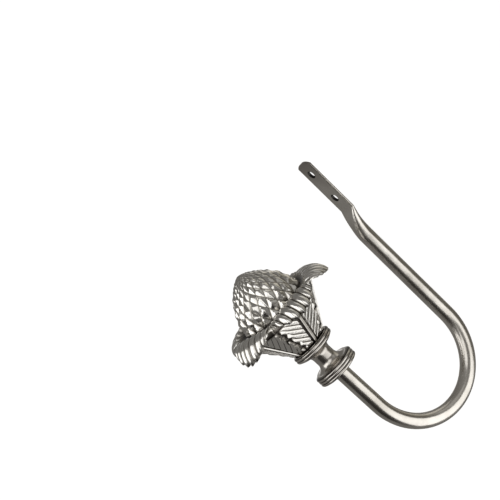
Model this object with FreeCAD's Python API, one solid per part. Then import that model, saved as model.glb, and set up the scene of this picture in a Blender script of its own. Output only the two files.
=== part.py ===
import FreeCAD
import Part
import math
import os

# Curtain holdback: a bent tube hook with a flattened wall tang, a turned collar and a cast finial.
# Millimetres. The wall is the plane y = 0, the room lies towards -Y and +Z is up.
# The origin is midway between the two screw holes, on the face that meets the wall.

V = FreeCAD.Vector

# Hook tube
tube_od = 10.0
tube_wall = 1.0
bend_radius = 38.3
bend_angle = 178.0
back_length = 68.0
front_length = 31.6

# Wall tang, the flattened end of the tube
flatten_length = 20.0
flat_length = 39.3
flat_width = 15.0
pressed_slit = 0.3
end_radius = 10.7
hole_diameter = 5.4
hole_spacing = 20.0
hole_margin = 9.2

# Joint between tube, collar and finial
socket_depth = 8.0
socket_clearance = 0.05
stud_diameter = 5.0
stud_clearance = 0.05
stud_in_finial = 12.0
stud_hole_spare = 1.5
insert_length = 14.0
stud_in_insert = 11.0
stud_chamfer = 0.5

# Collar
collar_height = 25.1
flange_diameter = 28.4
bead_depth = 0.7
lower_bead_count = 3
upper_bead_count = 2
bead_pitch = 1.9
lower_face_diameter = 24.6
lower_face_round = 0.5
upper_face_round = 0.5
shoulder_inset = 1.6
shoulder_rise = 1.0
neck_diameter = 13.4
neck_land = 1.2
flare_sag = 0.19

# Finial cup: leaves that lean outwards, each folded back along its rib and notched along its sides
finial_turn = 80.6
base_apothem = 11.8
base_inset = 1.0
base_gap = 0.9
leaf_lean = 32.8
leaf_rim_height = 24.5
leaf_width_ratio = 0.6
leaf_keel_ratio = 0.19
corner_ratio = 1.0
rib_half_width = 1.0
rib_height = 0.9
rib_groove = 0.6
barb_pitch = 4.1
barb_slant = 1.0
barb_relief = 0.35
barb_tilt = 0.3
barb_back_share = 0.4
barb_serration = 2.0
side_lobe_count = 4

# Finial lip: the leaf tips roll outwards and down, each leaf's by its own amount
lip_drops = (1.4, 2.0, 2.0, 2.0, 3.4)
lip_reach = 12.2
lip_crest_rise = 8.0
lip_side_reach = 2.4
lip_side_rise = 4.6
lip_half_width = 17.2
lip_crest_reach = 1.0
lip_side_inset = 1.8
lip_side_crest = 6.2
lip_point_power = 1.6
lip_under_reach = 0.24
lip_under_rise = 0.47
lip_edge = 1.2
lip_web = 4.5
lip_web_rise = 2.5
lobe_relief = 1.15
lobe_fade_angle = 180.0
lobe_scallop = 0.7
valley_clearance = 0.5
lip_under_row_count = 5
lip_upper_row_count = 8

# Finial cone: pyramid scales in crossing spirals
cone_radius = 21.3
cone_base_height = 30.0
cone_height = 29.2
cone_fullness = 1.8
cone_bluntness = 0.75
scale_count = 18
scale_aspect = 0.84
scale_relief = 0.24
cone_tip_radius = 1.5
cone_step_share = 0.01

# Joining of the finial's facets
merge_digits = 4
merge_tolerance = 0.001

# Places that follow from the sizes above
tube_r = tube_od / 2
bore_r = tube_r - tube_wall
flat_thickness = 2 * tube_wall
tang_end_x = -(hole_spacing / 2 + hole_margin)
flat_start_x = tang_end_x + flat_length
round_start_x = flat_start_x + flatten_length
bend_x = round_start_x + back_length
bend_y = -tube_r - bend_radius
finial_axis = V(math.cos(math.radians(bend_angle)), -math.sin(math.radians(bend_angle)), 0)
finial_side = V(-finial_axis.y, finial_axis.x, 0)
bend_end = V(bend_x, bend_y, 0) + finial_side * bend_radius
collar_seat = bend_end + finial_axis * front_length
socket_r = tube_r + socket_clearance
stud_r = stud_diameter / 2
stud_hole_r = stud_r + stud_clearance


def on_axis(shape):
    """Place a shape built along +Z from the collar's lower face onto the end of the front arm."""
    turn = FreeCAD.Rotation(finial_side, V(0, 0, 1), finial_axis, "ZXY")
    placed = shape.Solids[0].copy()
    placed.Placement = FreeCAD.Placement(collar_seat, turn).multiply(placed.Placement)
    return placed


def tang_section(x, half_width, half_thick, flatness):
    """Closed outline across the tube, centred on y = 0: round at flatness 0, flat with round edges at 1."""
    join_z = half_width - half_thick * (1 - (1 - flatness) * math.sqrt(0.5))
    join_y = half_thick * (1 - (1 - flatness) * (1 - math.sqrt(0.5)))

    def at(y, z):
        return V(x, y, z)

    def side(start, y, end):
        if flatness == 1:
            return Part.LineSegment(start, end)
        return Part.Arc(start, at(y, 0), end)

    corners = [at(join_y, join_z), at(join_y, -join_z), at(-join_y, -join_z), at(-join_y, join_z)]
    wall_side = side(corners[0], half_thick, corners[1])
    room_side = side(corners[2], -half_thick, corners[3])
    low_edge = Part.Arc(corners[1], at(0, -half_width), corners[2])
    high_edge = Part.Arc(corners[3], at(0, half_width), corners[0])
    return Part.Wire([c.toShape() for c in (wall_side, low_edge, room_side, high_edge)])


def flattened_length(inset):
    """Loft from the round tube to the tang; inset is 0 outside and the wall inside."""
    steps = 4
    sections = []
    for step in range(steps + 1):
        share = (step / steps) ** 2
        half_width = tube_r + (flat_width / 2 - tube_r) * share
        half_thick = tube_r + (flat_thickness / 2 - tube_r) * share
        wire = tang_section(
            round_start_x - flatten_length * step / steps,
            half_width - inset,
            max(half_thick - inset, pressed_slit / 2),
            share,
        )
        wire.translate(V(0, -half_thick, 0))
        sections.append(wire)
    return Part.makeLoft(sections, True)


def tang_plate():
    """Flat end of the tube with its rounded end and two screw holes."""
    section = tang_section(flat_start_x, flat_width / 2, flat_thickness / 2, 1)
    section.translate(V(0, -flat_thickness / 2, 0))
    bar = Part.Face(section).extrude(V(-flat_length, 0, 0))
    half = flat_width / 2
    corner_x = tang_end_x + end_radius - math.sqrt(end_radius**2 - half**2)
    outline = [
        Part.LineSegment(V(corner_x, 0, half), V(flat_start_x, 0, half)),
        Part.LineSegment(V(flat_start_x, 0, half), V(flat_start_x, 0, -half)),
        Part.LineSegment(V(flat_start_x, 0, -half), V(corner_x, 0, -half)),
        Part.Arc(V(corner_x, 0, -half), V(tang_end_x, 0, 0), V(corner_x, 0, half)),
    ]
    face = Part.Face(Part.Wire([c.toShape() for c in outline]))
    plate = bar.common(face.extrude(V(0, -flat_thickness, 0)))
    for side in (-1, 1):
        start = V(side * hole_spacing / 2, 0, 0)
        plate = plate.cut(Part.makeCylinder(hole_diameter / 2, flat_thickness, start, V(0, -1, 0)))
    return plate


def hook_tube():
    start = V(bend_x, -tube_r, 0)
    outer = Part.Face(Part.Wire(Part.makeCircle(tube_r, start, V(1, 0, 0))))
    inner = Part.Face(Part.Wire(Part.makeCircle(bore_r, start, V(1, 0, 0))))
    ring = outer.cut(inner).Faces[0]
    back = ring.extrude(V(-back_length, 0, 0))
    bend = ring.revolve(V(bend_x, bend_y, 0), V(0, 0, -1), bend_angle)
    end_ring = ring.copy()
    end_ring.rotate(V(bend_x, bend_y, 0), V(0, 0, -1), bend_angle)
    front = end_ring.extrude(finial_axis * (front_length + socket_depth))
    flattened = flattened_length(0).cut(flattened_length(tube_wall))
    return back.fuse([bend, front, flattened, tang_plate()]).removeSplitter()


def tube_insert():
    body = Part.makeCylinder(bore_r - stud_clearance, insert_length)
    body = body.cut(Part.makeCylinder(stud_hole_r, insert_length))
    body.translate(V(0, 0, socket_depth - insert_length))
    return on_axis(body)


def stud():
    bottom = socket_depth - stud_in_insert
    top = collar_height + stud_in_finial
    rod = Part.makeCylinder(stud_r, top - bottom, V(0, 0, bottom))
    ends = [e for e in rod.Edges if isinstance(e.Curve, Part.Circle)]
    return on_axis(rod.makeChamfer(stud_chamfer, ends))


def bead_stack(count, start_z):
    """Edges of a row of round beads going up the rim of a flange."""
    rim_r = flange_diameter / 2
    root_r = rim_r - bead_depth
    edges = []
    for bead in range(count):
        z = start_z + bead * bead_pitch
        arc = Part.Arc(V(root_r, 0, z), V(rim_r, 0, z + bead_pitch / 2), V(root_r, 0, z + bead_pitch))
        edges.append(arc.toShape())
    return edges


def line(a, b):
    return Part.LineSegment(a, b).toShape()


def flare(rim_point, neck_point):
    """Hollow quarter curve from a flange to the neck."""
    middle = (rim_point + neck_point) * 0.5
    reach = (neck_point - rim_point).Length
    middle += V(-1, 0, (rim_point.z - neck_point.z) / abs(rim_point.z - neck_point.z)) * reach * flare_sag
    return Part.Arc(rim_point, middle, neck_point).toShape()


def collar():
    root_r = flange_diameter / 2 - bead_depth
    neck_r = neck_diameter / 2
    lower_top = lower_face_round + lower_bead_count * bead_pitch
    upper_start = collar_height - upper_face_round - upper_bead_count * bead_pitch
    neck_z = (lower_top + upper_start) / 2
    lower_shoulder = V(root_r - shoulder_inset, 0, lower_top + shoulder_rise)
    upper_shoulder = V(root_r - shoulder_inset, 0, upper_start - shoulder_rise)
    neck_low = V(neck_r, 0, neck_z - neck_land / 2)
    neck_high = V(neck_r, 0, neck_z + neck_land / 2)
    face_r = lower_face_diameter / 2
    edges = [line(V(0, 0, 0), V(face_r, 0, 0)), line(V(face_r, 0, 0), V(root_r, 0, lower_face_round))]
    edges += bead_stack(lower_bead_count, lower_face_round)
    edges += [line(V(root_r, 0, lower_top), lower_shoulder), flare(lower_shoulder, neck_low)]
    edges += [line(neck_low, neck_high), flare(upper_shoulder, neck_high)]
    edges += [line(upper_shoulder, V(root_r, 0, upper_start))]
    edges += bead_stack(upper_bead_count, upper_start)
    top_r = root_r - upper_face_round
    edges += [line(V(root_r, 0, collar_height - upper_face_round), V(top_r, 0, collar_height))]
    edges += [line(V(top_r, 0, collar_height), V(0, 0, collar_height))]
    edges += [line(V(0, 0, collar_height), V(0, 0, 0))]
    body = Part.Face(Part.Wire(Part.__sortEdges__(edges))).revolve(V(0, 0, 0), V(0, 0, 1), 360)
    body = body.cut(Part.makeCylinder(socket_r, socket_depth))
    body = body.cut(Part.makeCylinder(stud_hole_r, collar_height))
    return on_axis(body)


def leaf_apothem(along):
    """Distance of a leaf's face from the finial's axis, at a distance along its slope."""
    return base_apothem + along * math.sin(math.radians(leaf_lean))


def leaf_height(along):
    return base_gap + along * math.cos(math.radians(leaf_lean))


def leaf_half_width(along):
    return leaf_width_ratio * leaf_apothem(along)


leaf_count = len(lip_drops)
leaf_slope_length = (leaf_rim_height - base_gap) / math.cos(math.radians(leaf_lean))
rib_edge = rib_half_width + rib_groove
last_column = 2 * side_lobe_count + 2
half_sector = math.pi / leaf_count
ring_r = cone_radius * (1 + 2 * math.pi / scale_count * scale_relief) + valley_clearance


def column_offset(column, half_width):
    """Distance of a grid column from the middle of a leaf: rib, rib groove, then the lobes."""
    if column < 2:
        return rib_half_width * column
    return rib_edge + (half_width - rib_edge) * (column - 2) / (last_column - 2)


def barb_place(column, start):
    """How far up the slope a barb that leaves the rib at start has come at this column."""
    if column <= 2:
        return min(max(start, 0), leaf_slope_length)
    share = (column - 2) / (last_column - 2)
    spread = leaf_width_ratio * math.sin(math.radians(leaf_lean))
    straight = share * (leaf_half_width(start) - rib_edge)
    along = start + barb_slant * straight / (1 - share * spread * barb_slant)
    return min(max(along, 0), leaf_slope_length)


def keel_fold(offset):
    """How far a leaf lies behind its middle, because both halves fold back along the rib."""
    return leaf_keel_ratio * max(offset - rib_edge, 0)


def face_row(start, place, relief):
    """Half of one row across a leaf's face, following a barb from the rib to the corner.

    place is 0 to 1 across the barb; relief is 1 on its back and -1 in the groove before it."""
    lean = math.radians(leaf_lean)
    row = []
    for column in range(last_column + 1):
        along = barb_place(column, start)
        offset = column_offset(column, leaf_half_width(along))
        inside = 0 < along < leaf_slope_length
        lift = relief * barb_relief + (place - 0.5) * barb_tilt if inside else 0
        if column < 2:
            lift = rib_height
        elif column == 2:
            lift = -barb_relief
        elif column == last_column and inside:
            offset -= barb_serration * abs(2 * place - 1)
        y = leaf_apothem(along) + lift * math.cos(lean) - keel_fold(offset)
        row.append((y, offset, leaf_height(along) - lift * math.sin(lean)))
    along = barb_place(last_column, start)
    corner = corner_ratio * leaf_apothem(along)
    row.append((corner * math.cos(half_sector), corner * math.sin(half_sector), leaf_height(along)))
    return row


def lip_column(column, lip_drop):
    """Sizes of the rolled lip at one column: they shrink from the middle of the leaf to its sides."""
    rim_y = leaf_apothem(leaf_slope_length)
    side = column_offset(column, lip_half_width) / lip_half_width
    middle = max(math.cos(side * math.pi / 2), 0) ** lip_point_power
    ridge = -1 if column >= 2 and column % 2 == 0 else 1
    tip_y = rim_y + lip_side_reach + (lip_reach - lip_side_reach) * middle
    tip_h = leaf_rim_height + lip_side_rise - (lip_drop + lip_side_rise) * middle
    crest_y = rim_y - lip_side_inset + (lip_crest_reach + lip_side_inset) * middle
    crest_h = leaf_rim_height + lip_side_crest + (lip_crest_rise - lip_side_crest) * middle
    return side, ridge, tip_y, tip_h, crest_y, crest_h


def lip_row(turn, top, share, lip_drop):
    """Half of one row across a lip: turn is 0 at the edge of the lip and 90 at its crest.

    share runs from 0 at the rim to 1 at the valley round the cone, and places the corner."""
    angle = math.radians(turn)
    rim_y = leaf_apothem(leaf_slope_length)
    row = []
    for column in range(last_column + 1):
        side, ridge, tip_y, tip_h, crest_y, crest_h = lip_column(column, lip_drop)
        offset = lip_half_width * math.sin(side * math.pi / 2)
        scallop = lobe_scallop * ridge * math.cos(angle) ** 2
        wave = lobe_relief * ridge * (1 - turn / lobe_fade_angle) if top else 0
        if not top:
            crest_y = rim_y + lip_under_reach * (tip_y - rim_y)
            tip_y -= lip_edge
            crest_h = tip_h + lip_under_rise * (crest_h - tip_h)
        y = crest_y + (tip_y - crest_y + wave) * math.cos(angle)
        h = tip_h - scallop + (crest_h - tip_h + wave) * math.sin(angle)
        if not top:
            y -= keel_fold(offset) * math.sin(angle)
        row.append((y, offset, h))
    outer = corner_ratio * rim_y
    web = math.sin(math.pi * share)
    corner = outer + (ring_r - outer) * share + lip_web * web
    height = leaf_rim_height + (cone_base_height - leaf_rim_height) * share + lip_web_rise * web
    row.append((corner * math.cos(half_sector), corner * math.sin(half_sector), height))
    return row


def ring_row(radius, height):
    """Half of one round row, spread over the same columns."""
    row = []
    for column in range(last_column + 2):
        angle = half_sector * column / (last_column + 1)
        row.append((radius * math.cos(angle), radius * math.sin(angle), height))
    return row


def leaf_row(half_row, leaf):
    """Full row of one leaf from half of it: mirrored, then turned to the leaf's place round the axis."""
    mirrored = [(y, -s, h) for y, s, h in half_row[-2:0:-1]]
    angle = math.radians(finial_turn) + 2 * half_sector * leaf
    row = []
    for y, s, h in mirrored + half_row:
        x = y * math.cos(angle) - s * math.sin(angle)
        row.append(V(x, y * math.sin(angle) + s * math.cos(angle), h))
    return row


def leaf_half_rows(lip_drop):
    """Half rows of one leaf, from its foot up the face, round the lip and in to the cone."""
    foot = face_row(-leaf_slope_length, 0, 0)
    rows = [[(y - base_inset, s, 0) for y, s, h in foot], foot]
    start = -barb_slant * leaf_half_width(0)
    back_start = (1 - barb_back_share) / 2
    while start < leaf_slope_length:
        for place, relief in ((0, -1), (back_start, 1), (1 - back_start, 1)):
            rows.append(face_row(start + place * barb_pitch, place, relief))
        start += barb_pitch
    rows.append(face_row(2 * leaf_slope_length, 0, 0))
    under = [(90 - 90 * i / (lip_under_row_count - 1), False) for i in range(lip_under_row_count)]
    upper = [(90 * i / (lip_upper_row_count - 1), True) for i in range(lip_upper_row_count)]
    steps = under + upper
    for index, (turn, top) in enumerate(steps):
        rows.append(lip_row(turn, top, (index + 1) / (len(steps) + 1), lip_drop))
    rows.append(ring_row(ring_r, cone_base_height))
    return rows


def cup_rings():
    """Rings of points round the whole cup, from its foot to the cone."""
    rings = []
    for half_rows in zip(*[leaf_half_rows(lip_drop) for lip_drop in lip_drops]):
        ring = []
        for leaf, half_row in enumerate(half_rows):
            ring += leaf_row(half_row, leaf)
        rings.append(ring)
    return rings


def cone_profile(height):
    """Radius of the cone at a height above its base."""
    share = min(max(height / cone_height, 0), 1)
    return cone_radius * (1 - share**cone_fullness) ** cone_bluntness


def cone_levels():
    """Heights of the rows of scales, each row as tall as its scales are wide for the aspect."""
    levels = [0]
    step = cone_step_share * cone_height
    while cone_profile(levels[-1]) > cone_tip_radius:
        wanted = scale_aspect * 2 * math.pi * cone_profile(levels[-1]) / scale_count
        low = levels[-1]
        travelled = 0
        while travelled < wanted and low < cone_height:
            rise = min(step, cone_height - low)
            travelled += math.hypot(rise, cone_profile(low + rise) - cone_profile(low))
            low += rise
        levels.append(low)
    return [level for level in levels if level < cone_height]


def cone_facets():
    """Triangles of the cone: four to each scale, with its middle raised."""
    levels = cone_levels()
    pitch = 2 * math.pi / scale_count
    tip = V(0, 0, cone_base_height + cone_height)

    def corner(level, place):
        if level >= len(levels):
            return tip
        radius = cone_profile(levels[level])
        angle = pitch * (place + 0.5 * (level % 2))
        return V(radius * math.cos(angle), radius * math.sin(angle), cone_base_height + levels[level])

    def peak(level, place):
        radius = cone_profile(levels[level]) * (1 + pitch * scale_relief)
        angle = pitch * (place + 0.5 + 0.5 * (level % 2))
        return V(radius * math.cos(angle), radius * math.sin(angle), cone_base_height + levels[level])

    facets = []
    rim = []
    for level in range(len(levels)):
        for place in range(scale_count):
            left = corner(level, place)
            right = corner(level, place + 1)
            middle = peak(level, place)
            across = place if level % 2 == 0 else place + 1
            above = corner(level + 1, across)
            facets += [(left, middle, above), (middle, right, above)]
            if level == 0:
                rim += [left, middle]
            else:
                below = corner(level - 1, across)
                facets += [(left, below, middle), (below, right, middle)]
    return facets, rim


def zip_rings(outer, inner):
    """Flat triangles between two rings of unlike counts, both going round the axis."""

    def turn(point, start):
        return (math.atan2(point.y, point.x) - start) % (2 * math.pi)

    start = math.atan2(outer[0].y, outer[0].x)
    inner = sorted(inner, key=lambda p: turn(p, start))
    facets = []
    i = 0
    j = 0
    while i < len(outer) or j < len(inner):
        a = outer[i % len(outer)]
        b = inner[j % len(inner)]
        next_a = turn(outer[i + 1], start) if i + 1 < len(outer) else 2 * math.pi
        next_b = turn(inner[j + 1], start) if j + 1 < len(inner) else 2 * math.pi
        if j >= len(inner) or (i < len(outer) and next_a <= next_b):
            facets.append((a, outer[(i + 1) % len(outer)], b))
            i += 1
        else:
            facets.append((a, inner[(j + 1) % len(inner)], b))
            j += 1
    return facets


def solid_from(facets):
    """Closed solid from triangles, with shared corners merged and empty triangles left out."""
    places = {}
    corners = []
    triangles = []
    for facet in facets:
        indices = []
        for point in facet:
            key = tuple(round(value, merge_digits) for value in point)
            if key not in places:
                places[key] = len(corners)
                corners.append(point)
            indices.append(places[key])
        if len(set(indices)) == 3:
            triangles.append(tuple(indices))
    shell = Part.Shape()
    shell.makeShapeFromMesh((corners, triangles), merge_tolerance)
    return Part.Solid(Part.Shell(shell.Faces)), len(triangles)


def finial():
    rings = cup_rings()
    facets = []
    for low, high in zip(rings, rings[1:]):
        for index in range(len(low)):
            after = (index + 1) % len(low)
            a, b, c, d = low[index], low[after], high[after], high[index]
            if (c - a).Length < (d - b).Length:
                facets += [(a, b, c), (a, c, d)]
            else:
                facets += [(a, b, d), (b, c, d)]
    cone, rim = cone_facets()
    facets += cone + zip_rings(rings[-1], rim)
    foot = rings[0]
    centre = V(0, 0, 0)
    facets += [(foot[(i + 1) % len(foot)], foot[i], centre) for i in range(len(foot))]
    body, count = solid_from(facets)
    print("finial facets", count, "valid", body.isValid(), "volume", round(body.Volume))
    body = body.removeSplitter()
    body = body.cut(Part.makeCylinder(stud_hole_r, stud_in_finial + stud_hole_spare))
    body.translate(V(0, 0, collar_height))
    return on_axis(body)


pieces = {
    "hook_tube": hook_tube(),
    "tube_insert": tube_insert(),
    "stud": stud(),
    "collar": collar(),
    "finial": finial(),
}

os.makedirs("parts", exist_ok=True)
for name, shape in pieces.items():
    shape.exportStep("parts/" + name + ".step")
    print(name, shape.isValid(), len(shape.Solids), round(shape.Volume), shape.BoundBox)
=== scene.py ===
import math

import bpy
import numpy as np
from mathutils import Matrix, Vector


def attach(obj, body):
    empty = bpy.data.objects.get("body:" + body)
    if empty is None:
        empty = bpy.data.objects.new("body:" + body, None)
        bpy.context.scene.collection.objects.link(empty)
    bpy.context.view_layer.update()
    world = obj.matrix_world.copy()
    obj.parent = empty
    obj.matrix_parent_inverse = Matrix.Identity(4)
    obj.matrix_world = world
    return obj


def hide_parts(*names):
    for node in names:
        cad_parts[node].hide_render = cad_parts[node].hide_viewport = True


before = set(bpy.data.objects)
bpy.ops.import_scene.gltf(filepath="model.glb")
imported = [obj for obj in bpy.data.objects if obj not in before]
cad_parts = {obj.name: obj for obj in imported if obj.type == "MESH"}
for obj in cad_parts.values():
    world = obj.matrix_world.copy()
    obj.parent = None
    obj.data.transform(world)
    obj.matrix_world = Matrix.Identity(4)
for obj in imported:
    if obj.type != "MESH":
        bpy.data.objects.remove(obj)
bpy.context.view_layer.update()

MM = 0.001

# Lengths from here to the meshes are in millimetres, as in the part's source

# Hook
tube_radius = 5.0
bend_radius = 38.3
bend_angle = math.radians(178.0)
bend_x = 108.1
front_length = 31.6
hole_radius = 2.7
hole_spacing = 20.0
hole_wall_reach = 0.06

# Collar
collar_height = 25.1
flange_radius = 14.2
bead_depth = 0.7
lower_bead_count = 3
upper_bead_count = 2
bead_pitch = 1.9
lower_face_radius = 12.3
face_round = 0.5
shoulder_inset = 1.6
shoulder_rise = 1.0
neck_radius = 6.7
neck_land = 1.2
flare_sag = 0.19
socket_radius = 5.05
socket_depth = 8.0
stud_hole_radius = 2.55

# Finial cup: five leaves
leaf_count = 5
finial_turn = math.radians(80.6)
base_apothem = 11.8
base_inset = 1.0
base_gap = 0.9
leaf_lean = math.radians(32.8)
leaf_rim_height = 24.5
leaf_width_ratio = 0.6
leaf_keel = 0.19
rib_half_width = 1.0
rib_height = 0.9
rib_groove = 0.6
rib_squareness = 4
rib_fade = 0.12
wall_bend = 1.5
barb_pitch = 4.1
barb_slant = 1.0
barb_relief = 0.35
barb_tilt = 0.3
barb_squareness = 9.5
barb_fade = 0.8
side_lobes = 4

# Notches along the sides of the leaves, deeper and shallower by turns
notch_mean = 1.4
notch_swing = 0.8
notch_step = 2.4
notch_start = 0.7

# Finial lips
lip_reach = 12.2
lip_drops = (1.4, 2.0, 2.0, 2.0, 3.4)
lip_crest_rise = 8.0
lip_side_reach = 2.4
lip_side_rise = 4.6
lip_half_width = 17.2
lip_crest_reach = 1.0
lip_side_inset = 1.8
lip_side_crest = 6.2
lip_under_reach = 0.24
lip_under_rise = 0.47
lip_edge = 1.2
lip_web = 4.5
lip_web_rise = 2.5
lip_point = 1.6
lobe_relief = 1.15
lobe_scallop = 0.4
lobe_roundness = 0.8
valley_clearance = 0.5
valley_hollow = 0.6

# Finial cone
cone_radius = 21.3
cone_base_height = 30.0
cone_height = 29.2
cone_fullness = 1.8
cone_bluntness = 0.75
cone_tip_radius = 1.5
ring_tuck = 1.0
scales_around = 18
scale_aspect = 0.84
scale_relief = 0.24
scale_lean = 0.12
scale_lean_spread = 0.08
scale_size_spread = 0.2
scale_seed = 7
slope_reach = 0.05
steepest_slope = 4

# Dark patina of the finial: how much of it stays in each hollow, and between which limits it fades
wall_patina = 0.9
lip_wall_patina = 0.2
rib_patina = 0.55
rib_patina_limits = (0.35, 0.75)
rib_foot_fade = 0.5
lobe_patina_limits = (0.05, 0.6)
under_patina = 0.15
under_patina_limits = (0.2, 0.8)
scale_patina = 0.62
scale_patina_width = 0.1
# Painted shade in the grooves between the collar's beads: the depths over which it fades in, and how deep
# it reaches
bead_shade_limits = (0.12, 0.75)
bead_shade_reach = 1.3

# Fineness of the meshes
collar_segments = 192
bead_steps = 14
flare_steps = 28
crease_angle = math.radians(20)
rib_columns = 6
groove_columns = 2
lobe_columns = 32
wall_columns = 4
rows_per_barb = 12
row_crowding = 0.65
under_rows = 10
lip_rows = 26
valley_rows = 5
scale_cells = 8
profile_step = 0.01

# Places that follow from the sizes
half_sector = math.pi / leaf_count
leaf_slope_length = (leaf_rim_height - base_gap) / math.cos(leaf_lean)
rib_edge = rib_half_width + rib_groove
ring_radius = cone_radius * (1 + 2 * math.pi / scales_around * scale_relief) + valley_clearance
rim_out = base_apothem + leaf_slope_length * math.sin(leaf_lean)
finial_axis = Vector((math.cos(bend_angle), -math.sin(bend_angle), 0))
finial_side = Vector((-finial_axis.y, finial_axis.x, 0))
bend_centre = Vector((bend_x, -tube_radius - bend_radius, 0))
finial_base = bend_centre + finial_side * bend_radius + finial_axis * (front_length + collar_height)


def smooth(low, high, value):
    """Smooth step from 0 at low to 1 at high."""
    share = np.clip((value - low) / (high - low), 0, 1)
    return share * share * (3 - 2 * share)


# The cup is made of rows that run across half a leaf. A row is four arrays with a value per column:
# distance out from the finial's axis, distance to the side, height, and patina.
# Its columns lie on the rib, in the groove beside it, on the lobes, and down the wall between two leaves.
first_lobe = rib_columns + groove_columns
column_count = first_lobe + lobe_columns + 1
rib_places = np.sin(np.linspace(0, math.pi / 2, rib_columns + 1)[:-1])
groove_places = np.linspace(0, 1, groove_columns + 1)[:-1]
lobe_places = np.linspace(0, 1, lobe_columns + 1)
is_rib = np.arange(column_count) < rib_columns
lobe_share = np.concatenate([np.zeros(first_lobe), lobe_places])


def column_sides(half_width):
    """Distances of the columns from the middle of a leaf whose half width is given per column or in all."""
    lobes = np.broadcast_to(half_width, column_count)[first_lobe:]
    return np.concatenate([
        rib_half_width * rib_places,
        rib_half_width + rib_groove * groove_places,
        rib_edge + (lobes - rib_edge) * lobe_places,
    ])


def leaf_half_width(along):
    """Half the width of a leaf at a distance up its slope."""
    return leaf_width_ratio * (base_apothem + along * math.sin(leaf_lean))


def with_wall(row, corner_radius, corner_height, corner_patina):
    """Row with the wall of the valley beside the leaf added, down to the corner midway to the next leaf."""
    corner = (
        corner_radius * math.cos(half_sector),
        corner_radius * math.sin(half_sector),
        corner_height,
        corner_patina,
    )
    steps = np.linspace(0, 1, wall_columns + 1)[1:]
    shares = (steps, steps**wall_bend, steps, np.sqrt(steps))
    return tuple(
        np.concatenate([values, values[-1] + (end - values[-1]) * share])
        for values, end, share in zip(row, corner, shares)
    )


def face_row(start, crown, tilt=0, notch=0):
    """Row across a leaf's face, along a barb that leaves the rib at start.

    crown is 1 on the back of a barb and 0 between two, tilt goes from -0.5 to 0.5 over a barb, and
    notch is how far the leaf's side draws in between two barbs."""
    spread = leaf_width_ratio * math.sin(leaf_lean)
    straight = lobe_share * (leaf_half_width(start) - rib_edge)
    along = start + barb_slant * straight / (1 - lobe_share * spread * barb_slant)
    along = np.clip(along, 0, leaf_slope_length)
    inside = smooth(0, barb_fade, along) * smooth(0, barb_fade, leaf_slope_length - along)
    side = column_sides(leaf_half_width(along))
    rib_top = rib_height * np.sqrt(np.clip(1 - (side / rib_half_width) ** rib_squareness, 0, 1))
    near_rib = 1 - smooth(0, rib_fade, lobe_share)
    barb = (barb_relief * (2 * crown - 1) + barb_tilt * tilt) * inside
    lift = np.where(is_rib, rib_top, barb * (1 - near_rib) - barb_relief * near_rib)
    rib_middle = rib_patina * (1 - smooth(*rib_patina_limits, side / rib_half_width))
    on_rib = np.maximum(1 - smooth(0, rib_foot_fade, rib_top), rib_middle)
    patina_and_shade = np.where(is_rib, on_rib, np.maximum(1 - crown * inside, near_rib))
    side = side - notch * 2 * abs(tilt) * inside * smooth(notch_start, 1, lobe_share)
    fold = leaf_keel * np.clip(side - rib_edge, 0, None)
    radius = base_apothem + along * math.sin(leaf_lean)
    height = base_gap + along * math.cos(leaf_lean)
    out = radius + lift * math.cos(leaf_lean) - fold
    up = height - lift * math.sin(leaf_lean)
    return with_wall((out, side, up, patina_and_shade), radius[-1], height[-1], wall_patina)


lip_places = column_sides(lip_half_width) / lip_half_width
rib_crown = np.cos(math.pi / 2 * np.clip(lip_places * lip_half_width / rib_edge, 0, 1))
side_crown = np.sin(math.pi * ((lobe_share * side_lobes) % 1))
lobe_crown = np.where(lobe_share > 0, side_crown, rib_crown) ** lobe_roundness


def lip_row(turn, top, share, lip_drop):
    """Row across a lip: turn is 0 at the lip's edge and a quarter turn at its crest.

    top tells its upper side from its underside, and share goes from 0 to 1 over both."""
    middle = np.cos(lip_places * math.pi / 2) ** lip_point
    tip_out = rim_out + lip_side_reach + (lip_reach - lip_side_reach) * middle
    tip_up = leaf_rim_height + lip_side_rise - (lip_drop + lip_side_rise) * middle
    crest_out = rim_out - lip_side_inset + (lip_crest_reach + lip_side_inset) * middle
    crest_up = leaf_rim_height + lip_side_crest + (lip_crest_rise - lip_side_crest) * middle
    side = lip_half_width * np.sin(lip_places * math.pi / 2)
    ridge = 2 * lobe_crown - 1
    scallop = lobe_scallop * ridge * math.cos(turn) ** 2
    if top:
        wave = lobe_relief * ridge * (1 - turn / math.pi)
        fold = 0
        patina_and_shade = 1 - smooth(*lobe_patina_limits, lobe_crown)
    else:
        wave = 0
        fold = leaf_keel * np.clip(side - rib_edge, 0, None) * math.sin(turn)
        patina_and_shade = np.full_like(side, under_patina * smooth(*under_patina_limits, turn))
        crest_out = rim_out + lip_under_reach * (tip_out - rim_out)
        crest_up = tip_up + lip_under_rise * (crest_up - tip_up)
        tip_out = tip_out - lip_edge
    out = crest_out + (tip_out - crest_out + wave) * math.cos(turn) - fold
    up = tip_up - scallop + (crest_up - tip_up + wave) * math.sin(turn)
    web = math.sin(math.pi * share)
    corner_radius = rim_out + (ring_radius - rim_out) * share + lip_web * web
    corner_height = leaf_rim_height + (cone_base_height - leaf_rim_height) * share + lip_web_rise * web
    return with_wall((out, side, up, patina_and_shade), corner_radius, corner_height, lip_wall_patina)


def ring_row(radius, height):
    """Round row over the same columns, all in patina."""
    angle = half_sector * np.linspace(0, 1, column_count + wall_columns)
    ones = np.ones_like(angle)
    return radius * np.cos(angle), radius * np.sin(angle), height * ones, ones


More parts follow.
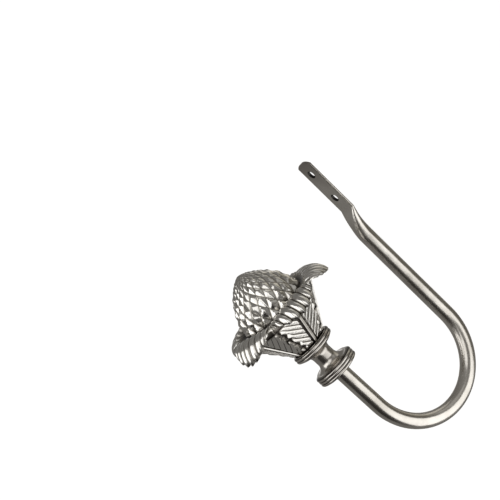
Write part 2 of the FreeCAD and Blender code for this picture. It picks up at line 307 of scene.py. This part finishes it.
def face_rows():
    """Rows of the foot and the face of half a leaf.

    The first and the last start so far off that face_row holds them level at the foot and at the rim."""
    foot = face_row(-2 * leaf_slope_length, 1)
    rows = [(foot[0] - base_inset, foot[1], 0 * foot[2], foot[3]), foot]
    first = -barb_slant * leaf_half_width(0)
    for barb in range(math.ceil((leaf_slope_length - first) / barb_pitch)):
        notch = notch_mean + notch_swing * math.sin(notch_step * barb)
        for step in range(rows_per_barb):
            turn = 2 * math.pi * step / rows_per_barb
            part = (turn - row_crowding * math.sin(turn)) / (2 * math.pi)
            crown = 1 - abs(2 * part - 1) ** barb_squareness
            rows.append(face_row(first + (barb + part) * barb_pitch, crown, part - 0.5, notch))
    return [*rows, face_row(2 * leaf_slope_length, 1)]


def cup_rows(lip_drop):
    """Rows of half a leaf: up its face, out under its lip, back over it and down to the cone."""
    rows = face_rows()
    total = under_rows + lip_rows + 1
    for step in range(under_rows):
        turn = math.pi / 2 * (1 - step / (under_rows - 1))
        rows.append(lip_row(turn, False, (step + 1) / total, lip_drop))
    for step in range(lip_rows):
        turn = math.pi / 2 * step / (lip_rows - 1)
        rows.append(lip_row(turn, True, (under_rows + step + 1) / total, lip_drop))
    crest = rows[-1]
    ring = ring_row(ring_radius, cone_base_height)
    for step in range(1, valley_rows + 1):
        share = step / valley_rows
        shares = (share, share, share**valley_hollow, share)
        rows.append(tuple(high + (low - high) * part for high, low, part in zip(crest, ring, shares)))
    rows.append(ring_row(cone_radius - ring_tuck, cone_base_height - ring_tuck))
    return rows


def mirrored(values, sign):
    """Rows of a whole leaf from those of its half; sign is -1 for distances to the side."""
    return np.concatenate([sign * values[:, -2:0:-1], values], axis=1)


def cup_mesh():
    """Rows of the whole cup, leaf after leaf: their points and patina values, row by column."""
    points = []
    patinas = []
    for leaf, lip_drop in enumerate(lip_drops):
        out, side, up, patina_and_shade = (np.array(values) for values in zip(*cup_rows(lip_drop)))
        out = mirrored(out, 1)
        side = mirrored(side, -1)
        angle = finial_turn + 2 * half_sector * leaf
        x = out * math.cos(angle) - side * math.sin(angle)
        y = out * math.sin(angle) + side * math.cos(angle)
        points.append(np.stack([x, y, mirrored(up, 1)], -1))
        patinas.append(mirrored(patina_and_shade, 1))
    return np.concatenate(points, axis=1), np.concatenate(patinas, axis=1)


def cone_profile(height):
    """Radius of the bare cone at a height above its base."""
    share = np.clip(height / cone_height, 0, 1)
    return cone_radius * (1 - share**cone_fullness) ** cone_bluntness


def cone_levels():
    """Heights of the rows of scales, each row as tall as its scales are wide for the aspect."""
    step = profile_step * cone_height
    levels = [0.0]
    while cone_profile(levels[-1]) > cone_tip_radius:
        wanted = scale_aspect * 2 * math.pi * cone_profile(levels[-1]) / scales_around
        level = levels[-1]
        travelled = 0
        while travelled < wanted and level < cone_height:
            rise = min(step, cone_height - level)
            travelled += math.hypot(rise, cone_profile(level + rise) - cone_profile(level))
            level += rise
        levels.append(level)
    levels = [level for level in levels if level < cone_height]
    return np.array([-levels[1], *levels, cone_height])


def flank(place, lean):
    """Straight rise from 0 at one edge of a scale to 1 off its middle by the lean, and back to 0."""
    peak = 0.5 + lean
    return np.where(place < peak, place / peak, (1 - place) / (0.5 - lean))


def cone_mesh():
    """Scales of the cone, each a grid with a raised middle and its own slight lean."""
    levels = cone_levels()
    pitch = 2 * math.pi / scales_around
    random = np.random.RandomState(scale_seed)
    side_count = scale_cells + 1
    edge = np.linspace(0, 1, side_count)
    a, b = np.meshgrid(edge, edge, indexing="ij")
    index = np.arange(side_count**2).reshape(side_count, side_count)
    corners = [index[:-1, :-1], index[1:, :-1], index[1:, 1:], index[:-1, 1:]]
    cells = np.stack(corners, -1).reshape(-1, 4)
    points = []
    patinas = []
    quads = []
    for row in range(1, len(levels) - 1):
        for place in range(scales_around):
            lean_a, lean_b = scale_lean + random.uniform(-scale_lean_spread, scale_lean_spread, 2)
            size = random.uniform(1 - scale_size_spread, 1 + scale_size_spread)
            height = np.interp(row + (a + b - 1), np.arange(len(levels)), levels)
            angle = pitch * (place + 0.5 * (row % 2) + 0.5 + (a - b) * 0.5)
            crown = np.minimum(flank(a, lean_a), flank(b, lean_b))
            lift = size * pitch * scale_relief * cone_profile(levels[row]) * crown
            rise = cone_profile(height + slope_reach) - cone_profile(height - slope_reach)
            slope = np.clip(rise / (2 * slope_reach), -steepest_slope, 0)
            length = np.sqrt(1 + slope**2)
            out = cone_profile(height) + lift / length
            up = cone_base_height + np.minimum(height - lift * slope / length, cone_height)
            quads.append(cells + len(points) * side_count**2)
            points.append(np.stack([out * np.cos(angle), out * np.sin(angle), up], -1).reshape(-1, 3))
            patinas.append((scale_patina * (1 - smooth(0, scale_patina_width, crown))).reshape(-1))
    return np.concatenate(points), np.concatenate(patinas), np.concatenate(quads)


def arc_points(start, middle, end, steps):
    """Points of the arc through three points of a profile, the first one left out."""
    start, middle, end = (np.array(point) for point in (start, middle, end))
    chords = 2 * np.array([middle - start, end - start])
    centre = np.linalg.solve(chords, [middle @ middle - start @ start, end @ end - start @ start])
    radius = np.linalg.norm(start - centre)
    first, between, last = (math.atan2(*(point - centre)[::-1]) for point in (start, middle, end))
    between = first + (between - first + math.pi) % (2 * math.pi) - math.pi
    last = between + (last - between + math.pi) % (2 * math.pi) - math.pi
    angles = np.linspace(first, last, steps + 1)[1:]
    return [centre + radius * np.array([math.cos(angle), math.sin(angle)]) for angle in angles]


def flare_points(low, high, flange):
    """Hollow curve between a shoulder and the neck; flange is -1 where it lies below and 1 above."""
    low = np.array(low)
    high = np.array(high)
    sag = np.array([-1, flange]) * np.linalg.norm(high - low) * flare_sag
    return arc_points(low, (low + high) / 2 + sag, high, flare_steps)


def narrowest(flare):
    """Place in a flare of its smallest radius, from which the neck runs straight on."""
    return int(np.argmin([radius for radius, height in flare]))


def bead_points(count, start_z):
    """Profile of a row of round beads up the rim of a flange."""
    root = flange_radius - bead_depth
    points = []
    for bead in range(count):
        z = start_z + bead * bead_pitch
        crown = (flange_radius, z + bead_pitch / 2)
        points += arc_points((root, z), crown, (root, z + bead_pitch), bead_steps)
    return points


def collar_profile():
    """Closed outline of the collar as radius and height, up the outside and down the bore."""
    root = flange_radius - bead_depth
    lower_top = face_round + lower_bead_count * bead_pitch
    upper_start = collar_height - face_round - upper_bead_count * bead_pitch
    neck_z = (lower_top + upper_start) / 2
    shoulder = root - shoulder_inset
    lower_shoulder = (shoulder, lower_top + shoulder_rise)
    upper_shoulder = (shoulder, upper_start - shoulder_rise)
    neck_low = (neck_radius, neck_z - neck_land / 2)
    neck_high = (neck_radius, neck_z + neck_land / 2)
    lower_flare = flare_points(lower_shoulder, neck_low, -1)
    upper_flare = flare_points(neck_high, upper_shoulder, 1)
    points = [(socket_radius, 0), (lower_face_radius, 0), (root, face_round)]
    points += bead_points(lower_bead_count, face_round)
    points += [lower_shoulder, *lower_flare[: narrowest(lower_flare) + 1]]
    points += upper_flare[narrowest(upper_flare) :]
    points += [(root, upper_start), *bead_points(upper_bead_count, upper_start)]
    points += [(root - face_round, collar_height), (stud_hole_radius, collar_height)]
    points += [(stud_hole_radius, socket_depth), (socket_radius, socket_depth)]
    return np.array(points)


def placed(points, base):
    """Points in metres in the part's frame, from millimetres round the finial's axis."""
    place = (
        np.outer(points[:, 0], finial_side)
        + np.outer(points[:, 1], (0, 0, 1))
        + np.outer(points[:, 2], finial_axis)
        + np.array(base)
    )
    return place * MM


def shaded_mesh(name, points, faces, patina_and_shade):
    """Mesh with soft shading up to the crease angle and a cavity value at every point: patina on the
    finial, painted shade on the collar.
    """
    mesh = bpy.data.meshes.new(name)
    mesh.from_pydata(points.tolist(), [], faces)
    mesh.attributes.new("cavity", "FLOAT", "POINT").data.foreach_set("value", patina_and_shade.astype(np.float32))
    mesh.validate()
    mesh.shade_smooth()
    mesh.set_sharp_from_angle(angle=crease_angle)
    return mesh


def collar_mesh():
    """The collar's outline turned round the finial's axis."""
    profile = collar_profile()
    radius = profile[:, :1]
    # Painted shade: the grooves between the beads are darkened by how deep each point lies below the crowns
    depth = (flange_radius - radius[:, 0]) / bead_depth
    on_bead = radius[:, 0] > flange_radius - bead_shade_reach * bead_depth
    patina_and_shade = np.repeat(smooth(*bead_shade_limits, depth) * on_bead, collar_segments)
    turn = np.linspace(0, 2 * math.pi, collar_segments, endpoint=False)
    x = radius * np.cos(turn)
    y = radius * np.sin(turn)
    z = np.broadcast_to(profile[:, 1:], x.shape)
    index = np.arange(x.size).reshape(x.shape)
    after = np.roll(index, -1, axis=1)
    above = np.roll(index, -1, axis=0)
    both = np.roll(after, -1, axis=0)
    quads = np.stack([index, after, both, above], -1).reshape(-1, 4)
    points = np.stack([x, y, z], -1).reshape(-1, 3)
    base = finial_base - finial_axis * collar_height
    return shaded_mesh("turned_collar", placed(points, base), quads.tolist(), patina_and_shade)


def finial_mesh():
    """Cup with its closed foot, and the cone standing in it."""
    points, patina_and_shade = cup_mesh()
    index = np.arange(patina_and_shade.size).reshape(patina_and_shade.shape)
    points = points.reshape(-1, 3)
    after = np.roll(index, -1, axis=1)
    quads = np.stack([index[:-1], after[:-1], after[1:], index[1:]], -1).reshape(-1, 4)
    cone_points, cone_patina, cone_quads = cone_mesh()
    faces = quads.tolist() + (cone_quads + len(points)).tolist()
    faces.append(index[0][::-1].tolist())
    points = np.concatenate([points, cone_points])
    patina_and_shade = np.concatenate([patina_and_shade.reshape(-1), cone_patina])
    return shaded_mesh("finial_casting", placed(points, finial_base), faces, patina_and_shade)


# Materials: lengths from here on are in metres, and scales of noise in cells per metre

# Plated metal
cloud_scale = 60
cloud_limits = (0.3, 0.7)
gloss_scale = 350
grain_depth = 0.00005
# Painted shade in crevices
crevice_shade_colour = (0.03, 0.027, 0.024)

# Forming of the hook, painted shade that darkens its tang towards the far end, and its screw holes with
# painted shade on their walls
forming_scale = 70
forming_detail = 1.0
forming_strength = 0.15
forming_depth = 0.002
tang_shade_colour = (0.3, 0.275, 0.252)
tang_shade_most = 0.75
tang_shade_start_x = -0.019
tang_shade_end_x = 0.004
hole_wall_shade_colour = (0.03, 0.028, 0.026)

# Cast silver of the finial
silver_unevenness = 0.15
silver_uneven_scale = 400
silver_colours = [
    (0.12, (0.74, 0.722, 0.685)),
    (0.5, (0.33, 0.31, 0.275)),
    (0.9, (0.035, 0.03, 0.027)),
]
silver_roughness = (0.12, 0.42)
silver_grain_scale = 900
silver_grain_strength = 0.22
silver_grain_depth = 0.0003


def new_material(name):
    """Material with nodes, and its main shader."""
    material = bpy.data.materials.new(name)
    material.use_nodes = True
    return material, material.node_tree.nodes["Principled BSDF"]


def new_metal(name):
    """Material of metal, and its main shader."""
    material, shader = new_material(name)
    shader.inputs["Metallic"].default_value = 1.0
    return material, shader


def noise(tree, scale, detail=3.0):
    """Noise in object space."""
    coords = tree.nodes.new("ShaderNodeTexCoord")
    texture = tree.nodes.new("ShaderNodeTexNoise")
    texture.inputs["Scale"].default_value = scale
    texture.inputs["Detail"].default_value = detail
    tree.links.new(coords.outputs["Object"], texture.inputs["Vector"])
    return texture.outputs["Fac"]


def patina_and_shade_value(tree):
    """Cavity value of the mesh, which is patina on the finial and painted shade in the grooves of the
    collar's beads, or 0 on a mesh without it.
    """
    attribute = tree.nodes.new("ShaderNodeAttribute")
    attribute.attribute_name = "cavity"
    return attribute.outputs["Fac"]


def ramp(tree, value, stops):
    """Colour by value, from stops of a place and a colour each."""
    node = tree.nodes.new("ShaderNodeValToRGB")
    while len(node.color_ramp.elements) < len(stops):
        node.color_ramp.elements.new(0.5)
    for element, (place, colour) in zip(node.color_ramp.elements, stops):
        element.position = place
        element.color = (*colour, 1)
    tree.links.new(value, node.inputs["Fac"])
    return node.outputs["Color"]


def mapped(tree, value, goes_from, goes_to):
    """Value moved from one pair of limits to another, and held between them."""
    node = tree.nodes.new("ShaderNodeMapRange")
    node.inputs["From Min"].default_value, node.inputs["From Max"].default_value = goes_from
    node.inputs["To Min"].default_value, node.inputs["To Max"].default_value = goes_to
    tree.links.new(value, node.inputs["Value"])
    return node.outputs["Result"]


def mixed(tree, share, colour, plain):
    """Colour that gives way to a plain one by share."""
    node = tree.nodes.new("ShaderNodeMixRGB")
    node.inputs["Color2"].default_value = (*plain, 1)
    tree.links.new(share, node.inputs["Fac"])
    tree.links.new(colour, node.inputs["Color1"])
    return node.outputs["Color"]


def vector_math(tree, operation, vector, other=(0, 0, 0), result="Vector"):
    """Vector, or value, that comes of a vector and a fixed one."""
    node = tree.nodes.new("ShaderNodeVectorMath")
    node.operation = operation
    node.inputs[1].default_value = other
    tree.links.new(vector, node.inputs[0])
    return node.outputs[result]


def add_bump(tree, height, strength, depth, normal):
    """Leads a bump to a normal socket."""
    node = tree.nodes.new("ShaderNodeBump")
    node.inputs["Strength"].default_value = strength
    node.inputs["Distance"].default_value = depth
    tree.links.new(height, node.inputs["Height"])
    tree.links.new(node.outputs["Normal"], normal)


def plated_metal(name, dark, light, roughness, grain_scale, grain_strength):
    """Plated metal: cloudy colour, painted shade in crevices, uneven gloss and a fine grain."""
    material, shader = new_metal(name)
    tree = material.node_tree
    clouds = ramp(tree, noise(tree, cloud_scale), list(zip(cloud_limits, (dark, light))))
    # Painted shade: crevices marked by the mesh's cavity value, the grooves between the collar's beads, are
    # darkened
    colour = mixed(tree, patina_and_shade_value(tree), clouds, crevice_shade_colour)
    gloss = mapped(tree, noise(tree, gloss_scale), (0, 1), roughness)
    tree.links.new(colour, shader.inputs["Base Color"])
    tree.links.new(gloss, shader.inputs["Roughness"])
    add_bump(tree, noise(tree, grain_scale), grain_strength, grain_depth, shader.inputs["Normal"])
    return material


def tube_finish():
    """Satin nickel of the hook: uneven from the forming, with painted shade that darkens the tang towards
    its far end and painted shade on the walls of the screw holes.
    """
    material = plated_metal(
        "satin_nickel",
        dark=(0.58, 0.55, 0.5),
        light=(0.76, 0.73, 0.68),
        roughness=(0.19, 0.26),
        grain_scale=2500,
        grain_strength=0.1,
    )
    tree = material.node_tree
    shader = tree.nodes["Principled BSDF"]
    grain = shader.inputs["Normal"].links[0].from_node
    forming = noise(tree, forming_scale, forming_detail)
    add_bump(tree, forming, forming_strength, forming_depth, grain.inputs["Normal"])
    place = tree.nodes.new("ShaderNodeTexCoord").outputs["Object"]
    axes = tree.nodes.new("ShaderNodeSeparateXYZ")
    tree.links.new(place, axes.inputs["Vector"])
    # Painted shade: the colour darkens along the tang towards its far end
    tang_shade = mapped(tree, axes.outputs["X"], (tang_shade_start_x, tang_shade_end_x), (tang_shade_most, 0))
    colour = mixed(tree, tang_shade, shader.inputs["Base Color"].links[0].from_socket, tang_shade_colour)
    # Painted shade: the walls of both screw holes are painted nearly black
    for hole in (-1, 1):
        offset = vector_math(tree, "SUBTRACT", place, (hole * hole_spacing / 2 * MM, 0, 0))
        across = vector_math(tree, "MULTIPLY", offset, (1, 0, 1))
        inside = tree.nodes.new("ShaderNodeMath")
        inside.operation = "LESS_THAN"
        inside.inputs[1].default_value = (hole_radius + hole_wall_reach) * MM
        tree.links.new(vector_math(tree, "LENGTH", across, result="Value"), inside.inputs[0])
        colour = mixed(tree, inside.outputs["Value"], colour, hole_wall_shade_colour)
    tree.links.new(colour, shader.inputs["Base Color"])
    return material


def antique_silver():
    """Cast silver finish with dark patina kept in the grooves and worn off the crowns."""
    material, shader = new_metal("antique_silver")
    tree = material.node_tree
    limits = (-silver_unevenness, silver_unevenness)
    total = tree.nodes.new("ShaderNodeMath")
    total.operation = "ADD"
    tree.links.new(patina_and_shade_value(tree), total.inputs[0])
    tree.links.new(mapped(tree, noise(tree, silver_uneven_scale), (0, 1), limits), total.inputs[1])
    patina_and_shade = total.outputs["Value"]
    tree.links.new(ramp(tree, patina_and_shade, silver_colours), shader.inputs["Base Color"])
    tree.links.new(mapped(tree, patina_and_shade, (0, 1), silver_roughness), shader.inputs["Roughness"])
    grain = noise(tree, silver_grain_scale)
    add_bump(tree, grain, silver_grain_strength, silver_grain_depth, shader.inputs["Normal"])
    return material


def dress(node, material):
    """Gives a CAD node its material."""
    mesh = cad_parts[node].data
    mesh.materials.clear()
    mesh.materials.append(material)


def stand_in(node, mesh, material):
    """Finer piece that stands for a CAD node of the same form."""
    mesh.materials.append(material)
    piece = bpy.data.objects.new(mesh.name, mesh)
    bpy.context.scene.collection.objects.link(piece)
    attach(piece, "root")
    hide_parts(node)


satin_nickel = tube_finish()
polished_nickel = plated_metal(
    "polished_nickel",
    dark=(0.49, 0.458, 0.42),
    light=(0.68, 0.65, 0.605),
    roughness=(0.21, 0.27),
    grain_scale=1500,
    grain_strength=0.05,
)
zinc_steel = plated_metal(
    "zinc_steel",
    dark=(0.5, 0.5, 0.48),
    light=(0.6, 0.6, 0.58),
    roughness=(0.3, 0.42),
    grain_scale=2000,
    grain_strength=0.2,
)
dress("hook_tube", satin_nickel)
dress("tube_insert", zinc_steel)
dress("stud", zinc_steel)
stand_in("collar", collar_mesh(), polished_nickel)
stand_in("finial", finial_mesh(), antique_silver())

# Camera at the photograph's angle
view_azimuth = math.radians(-22.365)
view_elevation = math.radians(60.81)
view_roll = math.radians(64.027)
view_distance = 3.0
view_target = Vector((-6.84, -58.12, -17.34)) * MM
lens_length = 361.9

level_right = Vector((math.cos(view_azimuth), math.sin(view_azimuth), 0))
view_back = Vector((
    math.sin(view_azimuth) * math.cos(view_elevation),
    -math.cos(view_azimuth) * math.cos(view_elevation),
    math.sin(view_elevation),
))
level_up = view_back.cross(level_right)
view_right = level_right * math.cos(view_roll) + level_up * math.sin(view_roll)
view_up = view_back.cross(view_right)

camera = bpy.data.objects.new("camera", bpy.data.cameras.new("camera"))
bpy.context.scene.collection.objects.link(camera)
camera_axes = Matrix((view_right, view_up, view_back)).transposed().to_4x4()
camera.matrix_world = Matrix.Translation(view_target + view_back * view_distance) @ camera_axes
camera.data.lens = lens_length
bpy.context.scene.camera = camera


def seen(right, up, back):
    """Direction in the part's frame from one given in the photograph's view."""
    return (view_right * right + view_up * up + view_back * back).normalized()


def soft_box(name, target, direction, distance, side, radiance):
    """Square soft light that faces the target from a direction, with its surface brightness given."""
    data = bpy.data.lights.new(name, "AREA")
    data.shape = "SQUARE"
    data.size = side
    data.energy = radiance * math.pi * side * side
    lamp = bpy.data.objects.new(name, data)
    bpy.context.scene.collection.objects.link(lamp)
    lamp.location = target + direction * distance
    lamp.rotation_euler = direction.to_track_quat("Z", "Y").to_euler()


hook_middle = Vector((60, -45, 0)) * MM
finial_middle = (finial_base + finial_axis * cone_base_height) * MM
soft_box("side_light", hook_middle, seen(0.85, -0.26, 0.4), distance=0.85, side=1.28, radiance=1.24)
soft_box("camera_light", hook_middle, seen(-0.28, 0.18, 0.94), distance=1.2, side=0.8, radiance=1.1)
soft_box("top_light", hook_middle, seen(0.35, 0.8, 0.48), distance=1.0, side=0.6, radiance=0.24)
soft_box("finial_light", finial_middle, seen(-0.8, -0.2, 0.5), distance=0.3, side=0.3, radiance=1.55)

# Studio: grey, dark below the camera, pale opposite to that, with one corner in shade
studio_dark = seen(-0.12, -0.83, 0.52)
studio_grey = (0.22, 0.214, 0.205)
studio_colours = [
    (0.05, (0.85, 0.833, 0.805)),
    (0.11, studio_grey),
    (0.725, studio_grey),
    (0.9, (0.14, 0.135, 0.128)),
    (0.965, (0.028, 0.026, 0.024)),
]
studio_corner = seen(0.74, 0.65, -0.1)
corner_shade = [(0.55, (1, 1, 1)), (0.95, (0.64, 0.62, 0.55))]


def studio_world():
    world = bpy.data.worlds.new("studio")
    bpy.context.scene.world = world
    world.use_nodes = True
    tree = world.node_tree
    direction = tree.nodes.new("ShaderNodeTexCoord").outputs["Generated"]
    towards_dark = vector_math(tree, "DOT_PRODUCT", direction, studio_dark, "Value")
    towards_corner = vector_math(tree, "DOT_PRODUCT", direction, studio_corner, "Value")
    shaded = tree.nodes.new("ShaderNodeMixRGB")
    shaded.blend_type = "MULTIPLY"
    shaded.inputs["Fac"].default_value = 1.0
    studio = ramp(tree, mapped(tree, towards_dark, (-1, 1), (0, 1)), studio_colours)
    tree.links.new(studio, shaded.inputs["Color1"])
    tree.links.new(ramp(tree, towards_corner, corner_shade), shaded.inputs["Color2"])
    tree.links.new(shaded.outputs["Color"], tree.nodes["Background"].inputs["Color"])


studio_world()

# Floor: a sheet well under the wall-mounted part that glows in its own colour, a painted pool of light
# white where the camera's line of sight meets it, and grey further out, since the metal reflects a dim room
floor_height = -1.2
floor_half = 6.5
painted_pool_radius = 0.37
painted_pool_edge = 0.518
floor_colours = [(0.0, (0.95, 0.95, 0.95)), (1.0, (0.19, 0.186, 0.18))]
floor_roughness = 0.9
floor_specular = 0.1
floor_glow = 0.77


def glowing_pool_floor():
    mesh = bpy.data.meshes.new("floor")
    signs = [(-1, -1), (1, -1), (1, 1), (-1, 1)]
    mesh.from_pydata([(x * floor_half, y * floor_half, floor_height) for x, y in signs], [], [(0, 1, 2, 3)])
    floor = bpy.data.objects.new("floor", mesh)
    bpy.context.scene.collection.objects.link(floor)
    material, shader = new_material("glowing_pool_floor")
    tree = material.node_tree
    shader.inputs["Roughness"].default_value = floor_roughness
    shader.inputs["Specular IOR Level"].default_value = floor_specular
    shader.inputs["Emission Strength"].default_value = floor_glow
    centre = view_target + view_back * ((floor_height - view_target.z) / view_back.z)
    place = tree.nodes.new("ShaderNodeNewGeometry").outputs["Position"]
    distance = vector_math(tree, "DISTANCE", place, centre, "Value")
    # Painted light: the floor glows white in a pool round that point and turns grey further out
    colour = ramp(tree, mapped(tree, distance, (painted_pool_radius, painted_pool_edge), (0, 1)), floor_colours)
    tree.links.new(colour, shader.inputs["Base Color"])
    tree.links.new(colour, shader.inputs["Emission Color"])
    mesh.materials.append(material)


glowing_pool_floor()

bpy.context.scene.view_settings.view_transform = "Standard"
